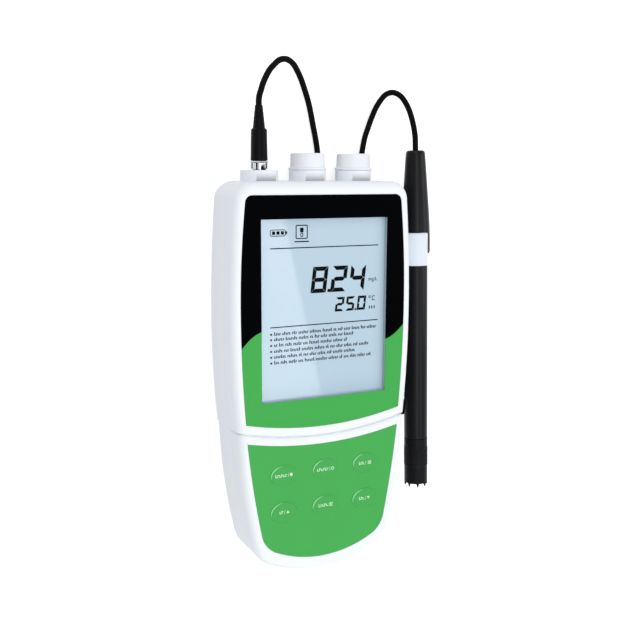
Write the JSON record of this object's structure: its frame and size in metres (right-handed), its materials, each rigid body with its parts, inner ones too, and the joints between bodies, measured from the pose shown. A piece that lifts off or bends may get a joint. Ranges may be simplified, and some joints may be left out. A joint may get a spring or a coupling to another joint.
{
  "type": "dissolved oxygen meter",
  "caption": "Hand-held dissolved oxygen meter with a large display, six keys, quarter-turn probe jack, capped sockets, and a membrane probe clipped to its side.",
  "frame": {"origin": "centre of the case's flat back, halfway along the case and on its middle line", "axes": "+Z out of the front face, +Y along the case to its connector end, +X to the side that carries the probe"},
  "size_m": [0.108, 0.2218, 0.0303],
  "materials": {
    "case_white": "smooth moulded ABS, cool white",
    "film_black": "printed polyester film, satin gloss",
    "film_green": "printed polyester film, satin gloss",
    "key_green": "silicone keys under a satin coat",
    "clear_pane": "clear acrylic pane",
    "lcd": "liquid crystal glass, pale blue-grey",
    "light_guide": "milky acrylic light guide",
    "inner_plastic": "plain moulded carrier",
    "board_green": "glass fibre board with green mask",
    "part_black": "moulded component bodies",
    "ribbon_amber": "polyimide ribbon",
    "black_plastic": "black moulded plastic, fine satin",
    "cable_black": "soft cable jacket",
    "seal_black": "soft moulded seal",
    "nickel": "bright nickel plate",
    "screw_steel": "zinc plated steel",
    "brass_pin": "gold flashed brass",
    "cell_label": "plain shrink sleeve",
    "contact_plate": "nickel plated spring steel",
    "insulator": "fluoropolymer",
    "silver": "silver with a matte surface",
    "epoxy": "cast epoxy rod",
    "membrane_film": "thin stretched membrane"
  },
  "bodies": {
    "meter": {"rear_case": "case_white", "display_case": "case_white", "keypad_case": "case_white", "case_seal": "seal_black", "case_screws": "screw_steel", "display_film": "film_black", "display_window": "clear_pane", "lcd_glass": "lcd", "backlight": "light_guide", "lcd_frame": "inner_plastic", "main_board": "board_green", "board_chips": "part_black", "board_screws": "screw_steel", "ribbon": "ribbon_amber", "keypad_film": "film_green", "keypad_board": "board_green", "key_switches": "part_black", "keypad_screws": "screw_steel", "cell_1": "cell_label", "cell_2": "cell_label", "cell_3": "cell_label", "cell_springs": "contact_plate", "cell_contacts": "contact_plate", "jack_shell": "nickel", "jack_nut": "nickel", "jack_insulator": "insulator", "plug_body": "black_plastic", "plug_pin": "brass_pin", "plug_boot": "cable_black", "socket_2": "black_plastic", "socket_3": "black_plastic", "socket_nuts": "nickel", "sensor_clip": "case_white", "clip_screws": "screw_steel", "lead_out": "cable_black", "lead_hank": "cable_black", "hank_tie": "seal_black", "lead_back": "cable_black"},
    "key_1": {"key_1": "key_green"},
    "key_2": {"key_2": "key_green"},
    "key_3": {"key_3": "key_green"},
    "key_4": {"key_4": "key_green"},
    "key_5": {"key_5": "key_green"},
    "key_6": {"key_6": "key_green"},
    "sleeve": {"bayonet_sleeve": "nickel"},
    "cap_2": {"dust_cap_2": "case_white"},
    "cap_3": {"dust_cap_3": "case_white"},
    "door": {"battery_door": "case_white"},
    "probe": {"probe_handle": "black_plastic", "probe_shaft": "black_plastic", "probe_core": "epoxy", "cathode": "brass_pin", "anode": "silver", "cap_seal": "seal_black"},
    "tip_cap": {"membrane_cap": "black_plastic", "membrane": "membrane_film"}
  },
  "joints": [
    {"name": "key_1_press", "type": "slide", "parent": "meter", "child": "key_1", "axis": [0, 0, -1], "range_m": [0, 0.0004], "stiffness_N_per_m": 300, "springref_m": -0.001},
    {"name": "key_2_press", "type": "slide", "parent": "meter", "child": "key_2", "axis": [0, 0, -1], "range_m": [0, 0.0004], "stiffness_N_per_m": 300, "springref_m": -0.001},
    {"name": "key_3_press", "type": "slide", "parent": "meter", "child": "key_3", "axis": [0, 0, -1], "range_m": [0, 0.0004], "stiffness_N_per_m": 300, "springref_m": -0.001},
    {"name": "key_4_press", "type": "slide", "parent": "meter", "child": "key_4", "axis": [0, 0, -1], "range_m": [0, 0.0004], "stiffness_N_per_m": 300, "springref_m": -0.001},
    {"name": "key_5_press", "type": "slide", "parent": "meter", "child": "key_5", "axis": [0, 0, -1], "range_m": [0, 0.0004], "stiffness_N_per_m": 300, "springref_m": -0.001},
    {"name": "key_6_press", "type": "slide", "parent": "meter", "child": "key_6", "axis": [0, 0, -1], "range_m": [0, 0.0004], "stiffness_N_per_m": 300, "springref_m": -0.001},
    {"name": "sleeve_turn", "type": "hinge", "parent": "meter", "child": "sleeve", "pos_m": [-0.0224, 0.0894, 0.0115], "axis": [0, 1, 0], "range_deg": [-90, 0]},
    {"name": "cap_2_pull", "type": "slide", "parent": "meter", "child": "cap_2", "axis": [0, 1, 0], "range_m": [0, 0.012]},
    {"name": "cap_3_pull", "type": "slide", "parent": "meter", "child": "cap_3", "axis": [0, 1, 0], "range_m": [0, 0.012]},
    {"name": "door_slide", "type": "slide", "parent": "meter", "child": "door", "axis": [0, -1, 0], "range_m": [0, 0.072]},
    {"name": "probe_lift", "type": "slide", "parent": "meter", "child": "probe", "axis": [-0.0279, 0.9996, 0], "range_m": [0, 0.125], "deforming": ["lead_back"]},
    {"name": "tip_cap_off", "type": "slide", "parent": "probe", "child": "tip_cap", "axis": [0.0279, -0.9996, 0], "range_m": [0, 0.024]}
  ]
}
